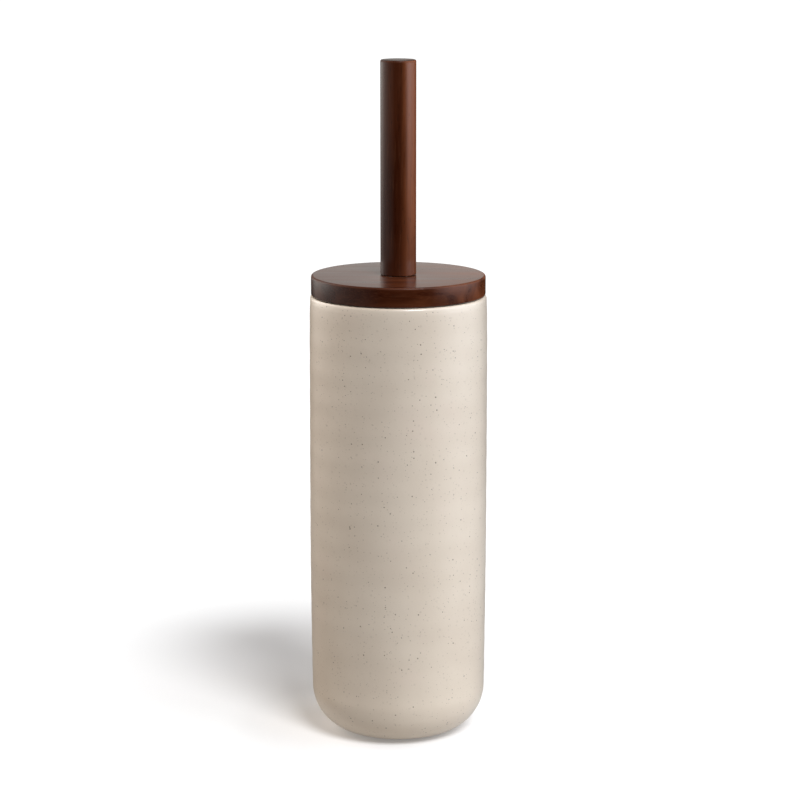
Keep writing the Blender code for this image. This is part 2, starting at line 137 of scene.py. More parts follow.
def piece_from(name, bm, material, sharp=50.0):
    """Makes a smooth-shaded object from a bmesh, with its faces turned outwards."""
    bmesh.ops.recalc_face_normals(bm, faces=bm.faces)
    mesh = bpy.data.meshes.new(name)
    bm.to_mesh(mesh)
    bm.free()
    mesh.shade_smooth()
    mesh.set_sharp_from_angle(angle=math.radians(sharp))
    mesh.materials.append(material)
    piece = bpy.data.objects.new(name, mesh)
    bpy.context.scene.collection.objects.link(piece)
    return piece


def place(piece, body, slot, *nodes):
    """Rides a piece on its body and lets it stand for CAD nodes. The slot argument is not used."""
    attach(piece, body)
    if nodes:
        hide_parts(*nodes)
    return piece


def turned(name, section, material, facets=SLIM_TURN, closed=False, offset=None):
    """Makes a turned piece from its section."""
    return piece_from(name, turned_bmesh(section, facets, closed, offset), material)


def spread(node):
    """Radius, lowest and highest point of a CAD node that is round about the Z axis."""
    low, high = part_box(node)
    return max(high.x, -low.x), low.z, high.z


# ---------------------------------------------------------------- material helpers

def feed(tree, socket, value):
    """Links a socket, or sets a constant on it."""
    if isinstance(value, bpy.types.NodeSocket):
        tree.links.new(value, socket)
    elif isinstance(value, tuple) and len(value) == 3 and socket.type == "RGBA":
        socket.default_value = (*value, 1.0)
    else:
        socket.default_value = value


def add_node(tree, kind, inputs=None, **settings):
    """Adds a node with its settings, then feeds its inputs."""
    made = tree.nodes.new(kind)
    for key, value in settings.items():
        setattr(made, key, value)
    for key, value in (inputs or {}).items():
        feed(tree, made.inputs[key], value)
    return made


def smooth_step(tree, value, low, high, to_low=0.0, to_high=1.0):
    """A smooth step from one range to another."""
    inputs = {"Value": value, "From Min": low, "From Max": high, "To Min": to_low, "To Max": to_high}
    return add_node(tree, "ShaderNodeMapRange", inputs, interpolation_type="SMOOTHSTEP").outputs["Result"]


class Shader:
    """A Principled material and short ways to add nodes to it."""

    def __init__(self, name):
        self.material = bpy.data.materials.new(name)
        self.material.use_nodes = True
        self.tree = self.material.node_tree
        self.surface = self.tree.nodes["Principled BSDF"]
        self.place = self.node("ShaderNodeTexCoord").outputs["Object"]

    def node(self, kind, inputs=None, **settings):
        """Adds a node to the material."""
        return add_node(self.tree, kind, inputs, **settings)

    def set(self, **inputs):
        """Sets Principled inputs; an underscore in a name stands for a space."""
        for key, value in inputs.items():
            feed(self.tree, self.surface.inputs[key.replace("_", " ")], value)

    def stretched(self, scale, vector=None):
        """Coordinates scaled by axis, for patterns longer one way than another."""
        inputs = {"Vector": vector or self.place, "Scale": scale}
        return self.node("ShaderNodeMapping", inputs).outputs["Vector"]

    def noise(self, scale, detail=3.0, roughness=0.5, vector=None, distortion=0.0):
        """Cloudy noise. The scale is in patterns per metre, or 1 where the vector is stretched already."""
        inputs = {"Vector": vector or self.place, "Scale": scale, "Detail": detail,
                  "Roughness": roughness, "Distortion": distortion}
        return self.node("ShaderNodeTexNoise", inputs).outputs["Fac"]

    def remap(self, value, low, high, to_low=0.0, to_high=1.0):
        """A smooth step from one range to another."""
        return smooth_step(self.tree, value, low, high, to_low, to_high)

    def math(self, operation, first, second):
        """A sum on two numbers."""
        return self.node("ShaderNodeMath", {0: first, 1: second}, operation=operation).outputs["Value"]

    def vector(self, operation, first, second=None, output="Vector"):
        """A sum on one or two vectors."""
        inputs = {0: first} if second is None else {0: first, 1: second}
        return self.node("ShaderNodeVectorMath", inputs, operation=operation).outputs[output]

    def mix(self, share, first, second):
        """Blends two colours."""
        return self.node("ShaderNodeMix", {0: share, 6: first, 7: second}, data_type="RGBA").outputs[2]

    def along(self, axis):
        """The coordinate along X, Y or Z, in metres."""
        return self.node("ShaderNodeSeparateXYZ", {"Vector": self.place}).outputs[axis]

    def bump(self, height, distance, below=None):
        """A bump this deep, on top of the one below."""
        inputs = {"Height": height, "Distance": distance, "Strength": 1.0}
        if below is not None:
            inputs["Normal"] = below
        return self.node("ShaderNodeBump", inputs).outputs["Normal"]


# ---------------------------------------------------------------- materials

NOISE_SPAN = (0.3, 0.7)                 # nearly all values of a noise lie between these
SMALLEST_SPECK = 0.45                   # the smallest speck of a layer, as a share of its full size
SPECK_CHOICE = 0.05                     # how sharply a cell is kept or left empty
BREAKING = (1.6 * MM, 0.2 * MM)         # from how far under the rim the glaze breaks, and breaks fully
LOWER_BODY_SHADE = (20.0 * MM, 190.0 * MM)   # between these heights painted shade darkens the lower body, fading out upwards
BARE_CLAY = (0.55 * MM, 0.85 * MM)      # the glaze starts between these heights, above bare clay
WORN_WIDTH = (1.6 * MM, 0.5 * MM)       # from how far inside an edge the wood is worn, and fully worn
CUT_TOP = (0.5 * MM, 0.1 * MM)          # from how far under the top end grain shows, and shows fully
FOOT_SHADE_SHARE = 0.50                     # how much of the dark stain colour the painted shade at the foot takes
TURNING_AWAY = (0.16, 0.42)             # between these values of Facing the wood's gloss grows weaker


def specks(shader, cell, keep, size, blur, shift=0.0):
    """Round specks of uneven size, in a share of the cells. 1 inside a speck, fading over its blur."""
    ragged = shader.node("ShaderNodeTexNoise", {"Vector": shader.place, "Scale": 0.6 / size, "Detail": 1.0})
    bend = {0: ragged.outputs["Color"], 1: (size, size, size), 2: shader.place}
    bent = shader.node("ShaderNodeVectorMath", bend, operation="MULTIPLY_ADD").outputs["Vector"]
    vector = shader.vector("ADD", bent, (shift, 2.0 * shift, -shift))
    cells = shader.node("ShaderNodeTexVoronoi", {"Vector": vector, "Scale": 1.0 / cell, "Randomness": 1.0})
    parts = shader.node("ShaderNodeSeparateColor", {"Color": cells.outputs["Color"]})
    kept = shader.remap(parts.outputs["Red"], 1.0 - keep, 1.0 + SPECK_CHOICE - keep)
    uneven = shader.remap(parts.outputs["Green"], 0.0, 1.0, SMALLEST_SPECK, 1.0)
    reach = shader.math("MULTIPLY", uneven, size / cell)
    inside = shader.math("SUBTRACT", reach, cells.outputs["Distance"])
    soft = shader.remap(inside, -blur / cell, blur / cell)
    return shader.math("MULTIPLY", soft, kept)


def stoneware_material():
    """Cream satin glaze over clay with iron specks: faint clouds and runs, darker at the rim and the foot,
    and painted shade on the lower body.
    """
    shader = Shader("stoneware")
    clouds = shader.remap(shader.noise(26.0), *NOISE_SPAN)
    runs = shader.remap(shader.noise(1.0, vector=shader.stretched((110.0, 110.0, 4.0))), 0.35, 0.75)
    tints = shader.remap(shader.noise(38.0, detail=2.0), 0.55, 0.75, 0.0, 0.30)
    glaze = shader.mix(clouds, GLAZE_DARK, GLAZE_LIGHT)
    glaze = shader.mix(shader.math("MULTIPLY", runs, 0.25), glaze, GLAZE_DARK)
    glaze = shader.mix(tints, glaze, GLAZE_ROSY)
    smudges = specks(shader, cell=3.4 * MM, keep=0.60, size=0.58 * MM, blur=0.40 * MM, shift=0.31)
    small = specks(shader, cell=1.6 * MM, keep=0.72, size=0.26 * MM, blur=0.11 * MM, shift=0.17)
    iron = specks(shader, cell=3.1 * MM, keep=0.60, size=0.40 * MM, blur=0.10 * MM)
    layers = ((smudges, 0.18, SPECK_SOFT), (small, 0.66, SPECK_SOFT), (iron, 0.85, SPECK_IRON))
    for spots, strength, stain in layers:
        glaze = shader.mix(shader.math("MULTIPLY", spots, strength), glaze, stain)
    rim = spread("canister")[2]
    breaking = shader.remap(shader.along("Z"), *(rim - under for under in BREAKING), 0.0, 0.35)
    glaze = shader.mix(breaking, glaze, GLAZE_BREAK_AND_SHADE)
    # Painted shade: the lower body is made darker, fading out upwards between the two given heights.
    glaze = shader.mix(shader.remap(shader.along("Z"), *LOWER_BODY_SHADE, 0.13, 0.0), glaze, GLAZE_BREAK_AND_SHADE)
    foot = shader.remap(shader.along("Z"), *BARE_CLAY, 1.0, 0.0)
    grit = shader.noise(2600.0, detail=2.0, roughness=0.6)
    colour = shader.mix(foot, glaze, shader.mix(grit, CLAY_DARK, CLAY_LIGHT))
    gloss = shader.remap(shader.noise(60.0), *NOISE_SPAN, 0.34, 0.42)
    roughness = shader.math("MAXIMUM", gloss, shader.math("MULTIPLY", foot, 0.85))
    peel = shader.bump(shader.noise(420.0, detail=2.0, roughness=0.4), 0.03 * MM)
    pits = shader.bump(shader.math("MULTIPLY", iron, -1.0), 0.05 * MM, peel)
    rough_foot = shader.bump(shader.math("MULTIPLY", grit, foot), 0.12 * MM, pits)
    shader.set(Base_Color=colour, Roughness=roughness, Normal=rough_foot, IOR=1.5,
               Coat_Weight=0.6, Coat_Roughness=0.26)
    return shader.material


def top_edge(shader, node):
    """1 along the rounded top edge of a round CAD piece, 0 elsewhere."""
    radius, _, high = spread(node)
    reach = shader.vector("LENGTH", shader.vector("MULTIPLY", shader.place, (1.0, 1.0, 0.0)), output="Value")
    outer = shader.remap(reach, *(radius - inside for inside in WORN_WIDTH))
    upper = shader.remap(shader.along("Z"), *(high - inside for inside in WORN_WIDTH))
    return shader.math("MULTIPLY", outer, upper)


def wood_material(name, node, lengthwise, heart, painted_lit_side, painted_foot_shade, glancing, end_grain):
    """Dark-stained close-grained wood under satin lacquer, with painted light: paler towards +X, where the
    light falls.

    node is the round CAD piece it covers, lengthwise is the number of the grain's axis, and heart shifts the
    figure. painted_lit_side is where the painted light that makes the wood paler starts and is full, along X.
    painted_foot_shade is between which heights the painted shade at the foot runs out. Heights below the
    piece mean no such shade. glancing is how much of the gloss stays at glancing angles, and end_grain is how
    dark and dull the top is.
    """
    shader = Shader(name)
    shifted = shader.vector("ADD", shader.place, heart)

    def grain(across, along, detail, distortion=0.0):
        scale = tuple(along if axis == lengthwise else across for axis in range(3))
        stretched = shader.stretched(scale, shifted)
        return shader.noise(1.0, detail=detail, roughness=0.55, vector=stretched, distortion=distortion)

    figure = grain(across=85.0, along=9.0, detail=3.0, distortion=0.5)
    lines = grain(across=420.0, along=16.0, detail=2.0, distortion=0.2)
    fibre = grain(across=1500.0, along=60.0, detail=2.0)
    pores = grain(across=2100.0, along=170.0, detail=1.0)
    colour = shader.mix(shader.remap(figure, 0.32, 0.70), WOOD_DARK, WOOD_MID)
    # Painted light: the wood is made paler towards +X, the side the light falls on; the edge of that paler
    # part wanders with the figure.
    wander = shader.math("MULTIPLY", shader.math("SUBTRACT", figure, 0.5), painted_lit_side[1] - painted_lit_side[0])
    pale = shader.remap(shader.math("ADD", shader.along("X"), wander), *painted_lit_side)
    colour = shader.mix(shader.math("MULTIPLY", pale, 0.85), colour, WOOD_LIT_AND_WORN)
    # Painted shade: the wood is made darker towards the foot, fading out between the two given heights.
    colour = shader.mix(shader.remap(shader.along("Z"), *painted_foot_shade, FOOT_SHADE_SHARE, 0.0), colour, WOOD_DARK)
    colour = shader.mix(shader.remap(lines, 0.48, 0.70, 0.0, 0.22), colour, WOOD_DARK)
    colour = shader.mix(shader.remap(fibre, 0.50, 0.80, 0.0, 0.20), colour, WOOD_FLECK)
    open_pores = shader.remap(pores, 0.66, 0.74)
    colour = shader.mix(shader.math("MULTIPLY", open_pores, 0.55), colour, WOOD_PORE)
    worn = top_edge(shader, node)
    colour = shader.mix(shader.math("MULTIPLY", worn, 0.12), colour, WOOD_LIT_AND_WORN)
    high = spread(node)[2]
    cut = shader.remap(shader.along("Z"), *(high - under for under in CUT_TOP), 0.0, end_grain)
    colour = shader.mix(cut, colour, WOOD_PORE)
    polish = shader.remap(figure, *NOISE_SPAN, 0.26, 0.34)
    roughness = shader.math("ADD", polish, shader.math("MULTIPLY", worn, 0.25))
    facing = shader.node("ShaderNodeLayerWeight", {"Blend": 0.5}).outputs["Facing"]
    turned_away = shader.remap(facing, *TURNING_AWAY, 1.0, glancing)
    shine = shader.math("MULTIPLY", turned_away, shader.math("SUBTRACT", 1.0, cut))
    coat = shader.math("MULTIPLY", shader.remap(worn, 0.0, 1.0, 0.45, 0.10), shine)
    height = shader.math("SUBTRACT", shader.math("MULTIPLY", fibre, 0.35), open_pores)
    shader.set(Base_Color=colour, Roughness=roughness, Normal=shader.bump(height, 0.009 * MM),
               IOR=1.45, Specular_IOR_Level=0.18, Coat_Weight=coat, Coat_Roughness=0.11)
    return shader.material


def plastic_material(name, colour, roughness, grain):
    """Moulded plastic with a fine spark-eroded grain and faint flow clouds."""
    shader = Shader(name)
    darker = tuple(0.90 * c for c in colour)
    tone = shader.mix(shader.remap(shader.noise(35.0), *NOISE_SPAN), darker, colour)
    uneven = shader.remap(shader.noise(240.0, detail=2.0), *NOISE_SPAN, roughness - 0.05, roughness + 0.07)
    shader.set(Base_Color=tone, Roughness=uneven,
               Normal=shader.bump(shader.noise(grain, detail=2.0), 0.02 * MM))
    return shader.material


def rubber_material(name, colour):
    """Matt rubber or silicone with a dusty bloom."""
    shader = Shader(name)
    most_bloom = 0.25
    bloom = shader.remap(shader.noise(300.0, detail=4.0, roughness=0.6), 0.45, 0.75, 0.0, most_bloom)
    pale = tuple(min(1.0, c + 0.12) for c in colour)
    shader.set(Base_Color=shader.mix(bloom, colour, pale),
               Roughness=shader.remap(bloom, 0.0, most_bloom, 0.55, 0.72),
               Normal=shader.bump(shader.noise(1800.0, detail=2.0), 0.015 * MM))
    return shader.material


def metal_material(name, colour, roughness, lines):
    """Turned or brushed metal: fine lines round the axis, with uneven polish."""
    shader = Shader(name)
    marks = shader.noise(1.0, roughness=0.6, vector=shader.stretched((60.0, 60.0, lines)))
    darker = tuple(0.86 * c for c in colour)
    tone = shader.mix(shader.remap(marks, *NOISE_SPAN), darker, colour)
    polish = shader.remap(shader.noise(90.0), *NOISE_SPAN, roughness - 0.03, roughness + 0.05)
    shader.set(Base_Color=tone, Metallic=1.0, Roughness=polish, Normal=shader.bump(marks, 0.006 * MM))
    return shader.material


def nylon_material():
    """Translucent white nylon filament, mottled with a little grey."""
    shader = Shader("nylon")
    tone = shader.mix(shader.remap(shader.noise(900.0, detail=2.0), *NOISE_SPAN), NYLON_GREY, NYLON_WHITE)
    shader.set(Base_Color=tone,
               Roughness=shader.remap(shader.noise(500.0, detail=1.0), *NOISE_SPAN, 0.30, 0.45),
               Normal=shader.bump(shader.noise(3000.0, detail=1.0), 0.01 * MM),
               Subsurface_Weight=0.15, Subsurface_Radius=(0.6 * MM, 0.6 * MM, 0.6 * MM), Subsurface_Scale=1.0)
    return shader.material


# ---------------------------------------------------------------- pieces

# the canister
BASE_R = 47.8 * MM          # where the rounded base meets the wall
BASE_ROUND = (23.0 * MM, 24.0 * MM)     # the base's rounding, across and up
TAPER_TOP = 122.0 * MM      # the wall is at its widest from here up
WALL_STEPS = 70
RIM_ROUND = 1.5 * MM
RIM_DRAWN_IN = 0.35 * MM    # how much narrower the wall is at the rim
RIM_DRAWN_FROM = 24.0 * MM  # and how far under the rim that starts
WALL_AT_RIM = 3.5 * MM
LEDGE_DEEP = 1.9 * MM
BORE_R = 42.5 * MM
BORE_ROUND = 19.0 * MM
FLOOR_THICK = 6.0 * MM
RECESS_R = 13.0 * MM
RECESS_DEEP = 1.6 * MM
RECESS_LIP = 2.4 * MM
FOOT_RING_R = 28.2 * MM     # a low ring round the pads
FOOT_RING_DEEP = 0.85 * MM
WOBBLE_FROM = 46.0 * MM     # the wall's unevenness starts beyond this radius
WOBBLE_FULL = 2.0 * MM      # and is full this much further out
WOBBLE_IN = 0.10 * MM       # drawn in this much, so that the bumps stay close to the CAD wall

# the brush
BOLT_HOLE_R = 3.3 * MM      # holes for the stud and for the stem's tip
FIRST_SCREW = 93.75         # degrees
PLUG_RIBS = 6
ROW_TUFTS = 18
ROW_FILAMENTS = 26
ROW_FAN = 4.1 * MM
TIP_RINGS = ((1, 0.0), (6, 0.55), (10, 0.95))   # tufts in each ring under the head, and how far they lean out
TIP_RING_STEP = 1.9 * MM
TIP_FILAMENTS = 22
TIP_FAN = 2.2 * MM
TIP_LONGEST = 17.0 * MM
FILAMENT_R = 0.17 * MM
HOLE_R = 1.05 * MM          # the hole that a tuft grows from
GOLDEN_TURN = 2.39996       # the golden angle, in radians


def thrown_wobble(angle, height, radius):
    """The slight unevenness of a hand-finished wall, fading out towards the bore and the rim."""
    outside = min(1.0, max(0.0, (radius - WOBBLE_FROM) / WOBBLE_FULL))
    ripple = 0.05 * MM * math.sin(height * 410.0 + 1.3 * math.sin(angle))
    oval = 0.13 * MM * math.sin(2.0 * angle + 14.0 * height)
    lobes = 0.07 * MM * math.sin(3.0 * angle - 23.0 * height)
    return outside * (ripple + oval + lobes - WOBBLE_IN)


def make_canister():
    """Rounded base, gentle taper, soft rim, ledge inside the mouth and a recessed foot."""
    body_r, foot, rim = spread("canister")
    low = foot + BASE_ROUND[1]
    floor = foot + FLOOR_THICK
    gallery_r = body_r - WALL_AT_RIM
    recess_in = RECESS_R - RECESS_LIP
    half_deep = 0.5 * RECESS_DEEP
    base_radii = (BASE_ROUND[0], BASE_ROUND[1] + FOOT_RING_DEEP)
    section = [(0.0, foot + RECESS_DEEP), (recess_in, foot + RECESS_DEEP)]
    section += arc((recess_in, foot + half_deep), (0.8 * MM, half_deep), 80.0, 10.0, 3)
    section += arc((RECESS_R, foot + 0.4 * MM), (0.5 * MM, 0.4 * MM), 190.0, 270.0, 4)
    section += [(FOOT_RING_R - 0.9 * MM, foot), (FOOT_RING_R - 0.4 * MM, foot - 0.6 * FOOT_RING_DEEP)]
    section += arc((BASE_R - BASE_ROUND[0], low), base_radii, -81.0, 0.0, 28)
    for step in range(1, WALL_STEPS + 1):
        height = low + (rim - RIM_ROUND - low) * step / WALL_STEPS
        share = min(1.0, (height - low) / (TAPER_TOP - low))
        drawn = max(0.0, 1.0 - (rim - height) / RIM_DRAWN_FROM)
        wall_r = BASE_R + (body_r - BASE_R) * math.sin(0.5 * math.pi * share)
        section.append((wall_r - RIM_DRAWN_IN * drawn * drawn, height))
    shoulder = body_r - RIM_DRAWN_IN - RIM_ROUND
    section += arc((shoulder, rim - RIM_ROUND), (RIM_ROUND, RIM_ROUND), 8.0, 90.0, 8)
    section += arc((gallery_r + 0.8 * MM, rim - 0.8 * MM), (0.8 * MM, 0.8 * MM), 90.0, 180.0, 4)
    ledge = rim - LEDGE_DEEP
    section += rounded([(gallery_r, rim - 1.0 * MM, 0.0), (gallery_r, ledge, 0.25 * MM),
                        (BORE_R, ledge, 0.6 * MM), (BORE_R, rim - 12.0 * MM, 0.0)], 4)
    section += arc((BORE_R - BORE_ROUND, floor + BORE_ROUND), (BORE_ROUND, BORE_ROUND), 0.0, -90.0, 12)
    section.append((0.0, floor))
    glaze = stoneware_material()
    canister = turned("stoneware_canister", section, glaze, SMOOTH_TURN, offset=thrown_wobble)
    place(canister, "holder", "stoneware_glaze", "canister")


def make_foot_pads():
    """Domed-edge rubber discs."""
    rubber = rubber_material("pad_rubber", (0.055, 0.054, 0.052))
    for number in range(1, 5):
        low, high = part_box(f"foot_pad_{number}")
        centre = 0.5 * (low + high)
        radius = 0.5 * (high.x - low.x)
        section = rounded([(0.0, low.z, 0.0), (radius, low.z, 0.3 * MM), (radius, high.z, 0.25 * MM),
                           (0.0, high.z, 0.0)], 4)
        pad = turned(f"foot_pad_disc_{number}", section, rubber, PAD_TURN)
        pad.location = (centre.x, centre.y, 0.0)
        place(pad, "holder", "pad_rubber", f"foot_pad_{number}")


def make_liner():
    """The lift-out cup with its flange."""
    flange_r, low, top = spread("liner")
    wall = 1.5 * MM
    r_low = 40.2 * MM
    r_high = 41.7 * MM
    curve = 18.0 * MM
    flange = 1.3 * MM
    turn_at = (r_low - curve, low + curve)
    section = [(0.0, low)]
    section += arc(turn_at, (curve, curve), -90.0, 0.0, 14)
    section += rounded([(r_low, low + curve, 0.0), (r_high, top - flange, 0.35 * MM),
                        (flange_r, top - flange, 0.3 * MM), (flange_r, top, 0.45 * MM),
                        (r_high - wall, top, 0.7 * MM), (r_low - wall, low + curve, 0.0)], 5)[1:]
    section += arc(turn_at, (curve - wall, curve - wall), 0.0, -90.0, 14)[1:]
    section.append((0.0, low + wall))
    plastic = plastic_material("liner_plastic", (0.36, 0.35, 0.33), 0.42, 1500.0)
    place(turned("liner_cup", section, plastic, SMOOTH_TURN), "liner", "liner_plastic", "liner")


def make_seal_ring():
    """A round silicone ring."""
    radius, low, high = spread("seal_ring")
    half = 0.5 * (high - low)
    steps = 15
    section = arc((radius - half, low + half), (half, half), 0.0, 360.0 * steps / (steps + 1), steps)
    silicone = rubber_material("silicone", (0.26, 0.25, 0.24))
    ring = turned("seal_ring_lip", section, silicone, SMOOTH_TURN, closed=True)
    place(ring, "seal_ring", "silicone", "seal_ring")


def make_lid():
    """The turned disc: crisp but softened edges, and a hole for the stud."""
    radius, low, high = spread("lid")
    corners = [(BOLT_HOLE_R, low, 0.2 * MM), (radius, low, 0.9 * MM), (radius, high, 1.1 * MM),
               (BOLT_HOLE_R, high, 0.2 * MM)]
    section = rounded(corners, 8, closed=True)
    wood = wood_material("lid_wood", "lid", lengthwise=0, heart=(0.311, 0.143, 0.04),
                         painted_lit_side=(-0.020, 0.115), painted_foot_shade=(0.0, 0.1), glancing=1.0, end_grain=0.0)
    lid = turned("wooden_lid", section, wood, SMOOTH_TURN, closed=True)
    place(lid, "brush", "lid_wood", "lid")


def make_handle():
    """The dowel: softened top, small break at the foot, and the socket for the insert."""
    radius, low, high = spread("handle")
    socket_r = 5.3 * MM
    deep = 17.5 * MM
    section = rounded([(0.0, low + deep, 0.0), (socket_r, low + deep, 0.3 * MM), (socket_r, low, 0.3 * MM),
                       (radius, low, 0.35 * MM), (radius, high, 0.9 * MM), (0.0, high, 0.0)], 8)
    wood = wood_material("handle_wood", "handle", lengthwise=2, heart=(0.021, 0.037, 0.3),
                         painted_lit_side=(0.0, 0.007), painted_foot_shade=(0.257, 0.300), glancing=0.25, end_grain=0.8)
    place(turned("wooden_handle", section, wood, SLIM_TURN), "brush", "handle_wood", "handle")


def make_plug():
    """Plate, grooved rim and boss of the lid's plug, with ribs between them."""
    radius, low, high = spread("lid_plug")
    boss_r = 10.0 * MM
    boss = low + 0.6 * MM
    rim_r = radius - 4.2 * MM
    under = high - 2.5 * MM
    groove_r = 38.0 * MM
    groove_low = low + 2.3 * MM
    groove_high = low + 4.5 * MM
    round_edge = 0.6 * MM
    soft = 0.35 * MM
    crisp = 0.2 * MM
    corners = [(BOLT_HOLE_R, boss, soft), (boss_r, boss, round_edge), (boss_r, under, soft),
               (rim_r, under, soft), (rim_r, low, round_edge), (radius, low, round_edge),
               (radius, groove_low, crisp), (groove_r, groove_low, crisp),
               (groove_r, groove_high, crisp), (radius, groove_high, crisp),
               (radius, high, soft), (BOLT_HOLE_R, high, soft)]
    bm = turned_bmesh(rounded(corners, 4, closed=True), SMOOTH_TURN, closed=True)
    plastic = plastic_material("plug_plastic", (0.72, 0.71, 0.68), 0.38, 1500.0)
    plug = piece_from("lid_plug_moulding", bm, plastic)
    place(plug, "brush", "plug_plastic", "lid_plug")
    ribs = bmesh.new()
    rooted = 0.5 * MM
    inner = boss_r - rooted
    outer = rim_r + rooted
    between = 360.0 / PLUG_RIBS
    for k in range(PLUG_RIBS):
        turn = math.radians(FIRST_SCREW) + math.radians((k + 0.5) * between)
        made = bmesh.ops.create_cube(ribs, size=1.0)["verts"]
        middle = Matrix.Translation((0.5 * (inner + outer), 0.0, under - 1.2 * MM))
        size = Matrix.Diagonal((outer - inner, 1.4 * MM, 2.8 * MM, 1.0))
        bmesh.ops.transform(ribs, matrix=Matrix.Rotation(turn, 4, "Z") @ middle @ size, verts=made)
    bmesh.ops.bevel(ribs, geom=ribs.edges[:], offset=0.25 * MM, segments=2, affect="EDGES")
    place(piece_from("lid_plug_ribs", ribs, plastic, 40.0), "brush", "plug_plastic")


def make_screws(steel):
    """Pan heads with a round socket, on ringed shanks that read as threads."""
    for number in range(1, 4):
        low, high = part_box(f"plug_screw_{number}")
        centre = 0.5 * (low + high)
        head_r = 0.5 * (high.x - low.x)
        shank_r = 1.2 * MM
        socket_r = 1.1 * MM
        socket_top = low.z + 0.9 * MM
        head_top = low.z + 1.7 * MM
        pitch = 0.7 * MM
        tip = 1.6 * MM
        corners = [(0.0, socket_top, 0.0), (socket_r, socket_top, 0.0), (socket_r, low.z, 0.15 * MM),
                   (head_r, low.z, 0.9 * MM), (head_r, head_top, 0.15 * MM), (shank_r, head_top, 0.1 * MM)]
        z = head_top + 0.6 * MM
        while z < high.z - tip:
            corners += [(shank_r - 0.25 * MM, z, 0.0), (shank_r, z + 0.5 * pitch, 0.0)]
            z += pitch
        corners.append((0.0, high.z, 0.0))
        screw = turned(f"pan_screw_{number}", rounded(corners, 4), steel, SCREW_TURN)
        screw.location = (centre.x, centre.y, 0.0)
        place(screw, "brush", "hardware_steel", f"plug_screw_{number}")


def make_stem(steel, hardware):
    """Collar and tube; the washer, the plugs and the stud keep their CAD shapes."""
    radius, low, high = spread("stem_collar")
    sleeve_r = 7.4 * MM
    bore_r = 6.3 * MM
    step = high - 3.0 * MM
    corners = [(bore_r, low, 0.2 * MM), (sleeve_r, low, 0.5 * MM), (sleeve_r, step, 0.8 * MM),
               (radius, step, 0.8 * MM), (radius, high, 0.4 * MM), (BOLT_HOLE_R, high, 0.1 * MM),
               (BOLT_HOLE_R, step, 0.1 * MM), (bore_r, step, 0.1 * MM)]
    collar = turned("collar_cup", rounded(corners, 5, closed=True), steel, closed=True)
    place(collar, "brush", "stem_steel", "stem_collar")
    radius, low, high = spread("stem")
    tube_bore_r = 5.2 * MM
    corners = [(tube_bore_r, low, 0.1 * MM), (radius, low, 0.3 * MM), (radius, high, 0.3 * MM),
               (tube_bore_r, high, 0.1 * MM)]
    tube = turned("stem_tube", rounded(corners, 4, closed=True), steel, closed=True)
    place(tube, "brush", "stem_steel", "stem")
    for node in ("clamp_washer", "stem_top_plug", "stem_tip", "lid_stud"):
        dress(node, hardware)


def dress(node, material):
    """Gives a CAD node that stays its finished material."""
    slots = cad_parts[node].data.materials
    slots.clear()
    slots.append(material)


def make_head_core():
    """The moulded core and the gasket on top of it."""
    radius, low, high = spread("head_core")
    socket_low = high - 21.0 * MM
    corners = [(0.0, low, 0.0), (radius - 1.0 * MM, low, 1.6 * MM), (radius, low + 4.0 * MM, 0.8 * MM),
               (radius, high, 1.2 * MM), (BOLT_HOLE_R, high, 0.3 * MM), (BOLT_HOLE_R, socket_low, 0.0),
               (0.0, socket_low, 0.0)]
    plastic = plastic_material("core_plastic", (0.78, 0.78, 0.76), 0.33, 900.0)
    place(turned("head_core_moulding", rounded(corners, 5), plastic), "brush", "core_plastic", "head_core")
    radius, low, high = spread("head_gasket")
    corners = [(BOLT_HOLE_R, low, 0.1 * MM), (radius, low, 0.5 * MM), (radius, high, 0.5 * MM),
               (BOLT_HOLE_R, high, 0.1 * MM)]
    rubber = rubber_material("gasket_rubber", (0.045, 0.045, 0.045))
    place(turned("gasket_ring", rounded(corners, 4, closed=True), rubber, closed=True),
          "brush", "gasket_rubber", "head_gasket")


def add_filament(bm, root, tip, bow, radius):
    """One tapered three-sided filament from root to tip, bowed sideways."""
    sides = 3
    joints = 4
    way = (tip - root).normalized()
    side = way.orthogonal().normalized()
    other = way.cross(side)
    rings = []
    for joint in range(joints):
        share = joint / (joints - 1)
        centre = root.lerp(tip, share) + bow * (share * share)
        size = radius * (1.0 - 0.35 * share)
        rings.append([bm.verts.new(centre + size * (side * math.cos(a) + other * math.sin(a)))
                      for a in (2.0 * math.pi * k / sides for k in range(sides))])
    for low, high in zip(rings, rings[1:]):
        for k in range(sides):
            bm.faces.new((low[k], low[(k + 1) % sides], high[(k + 1) % sides], high[k]))
    bm.faces.new(rings[0][::-1])
    bm.faces.new(rings[-1])


def add_tuft(bm, root, way, length, chance, count, fan):
    """A tuft: filaments that leave one hole together and fan out."""
    side = way.orthogonal().normalized()
    other = way.cross(side)
    for k in range(count):
        reach = math.sqrt((k + 0.5) / count)
        angle = k * GOLDEN_TURN + chance.uniform(-0.2, 0.2)
        lean = side * math.cos(angle) + other * math.sin(angle)
        start = root + lean * (reach * HOLE_R)
        end = root + way * (length * chance.uniform(0.955, 1.0)) + lean * (reach * fan)
        bow = lean * chance.uniform(-0.3, 0.5) * MM + Vector((0.0, 0.0, chance.uniform(-0.4, 0.4) * MM))
        add_filament(bm, start, end, bow, FILAMENT_R)


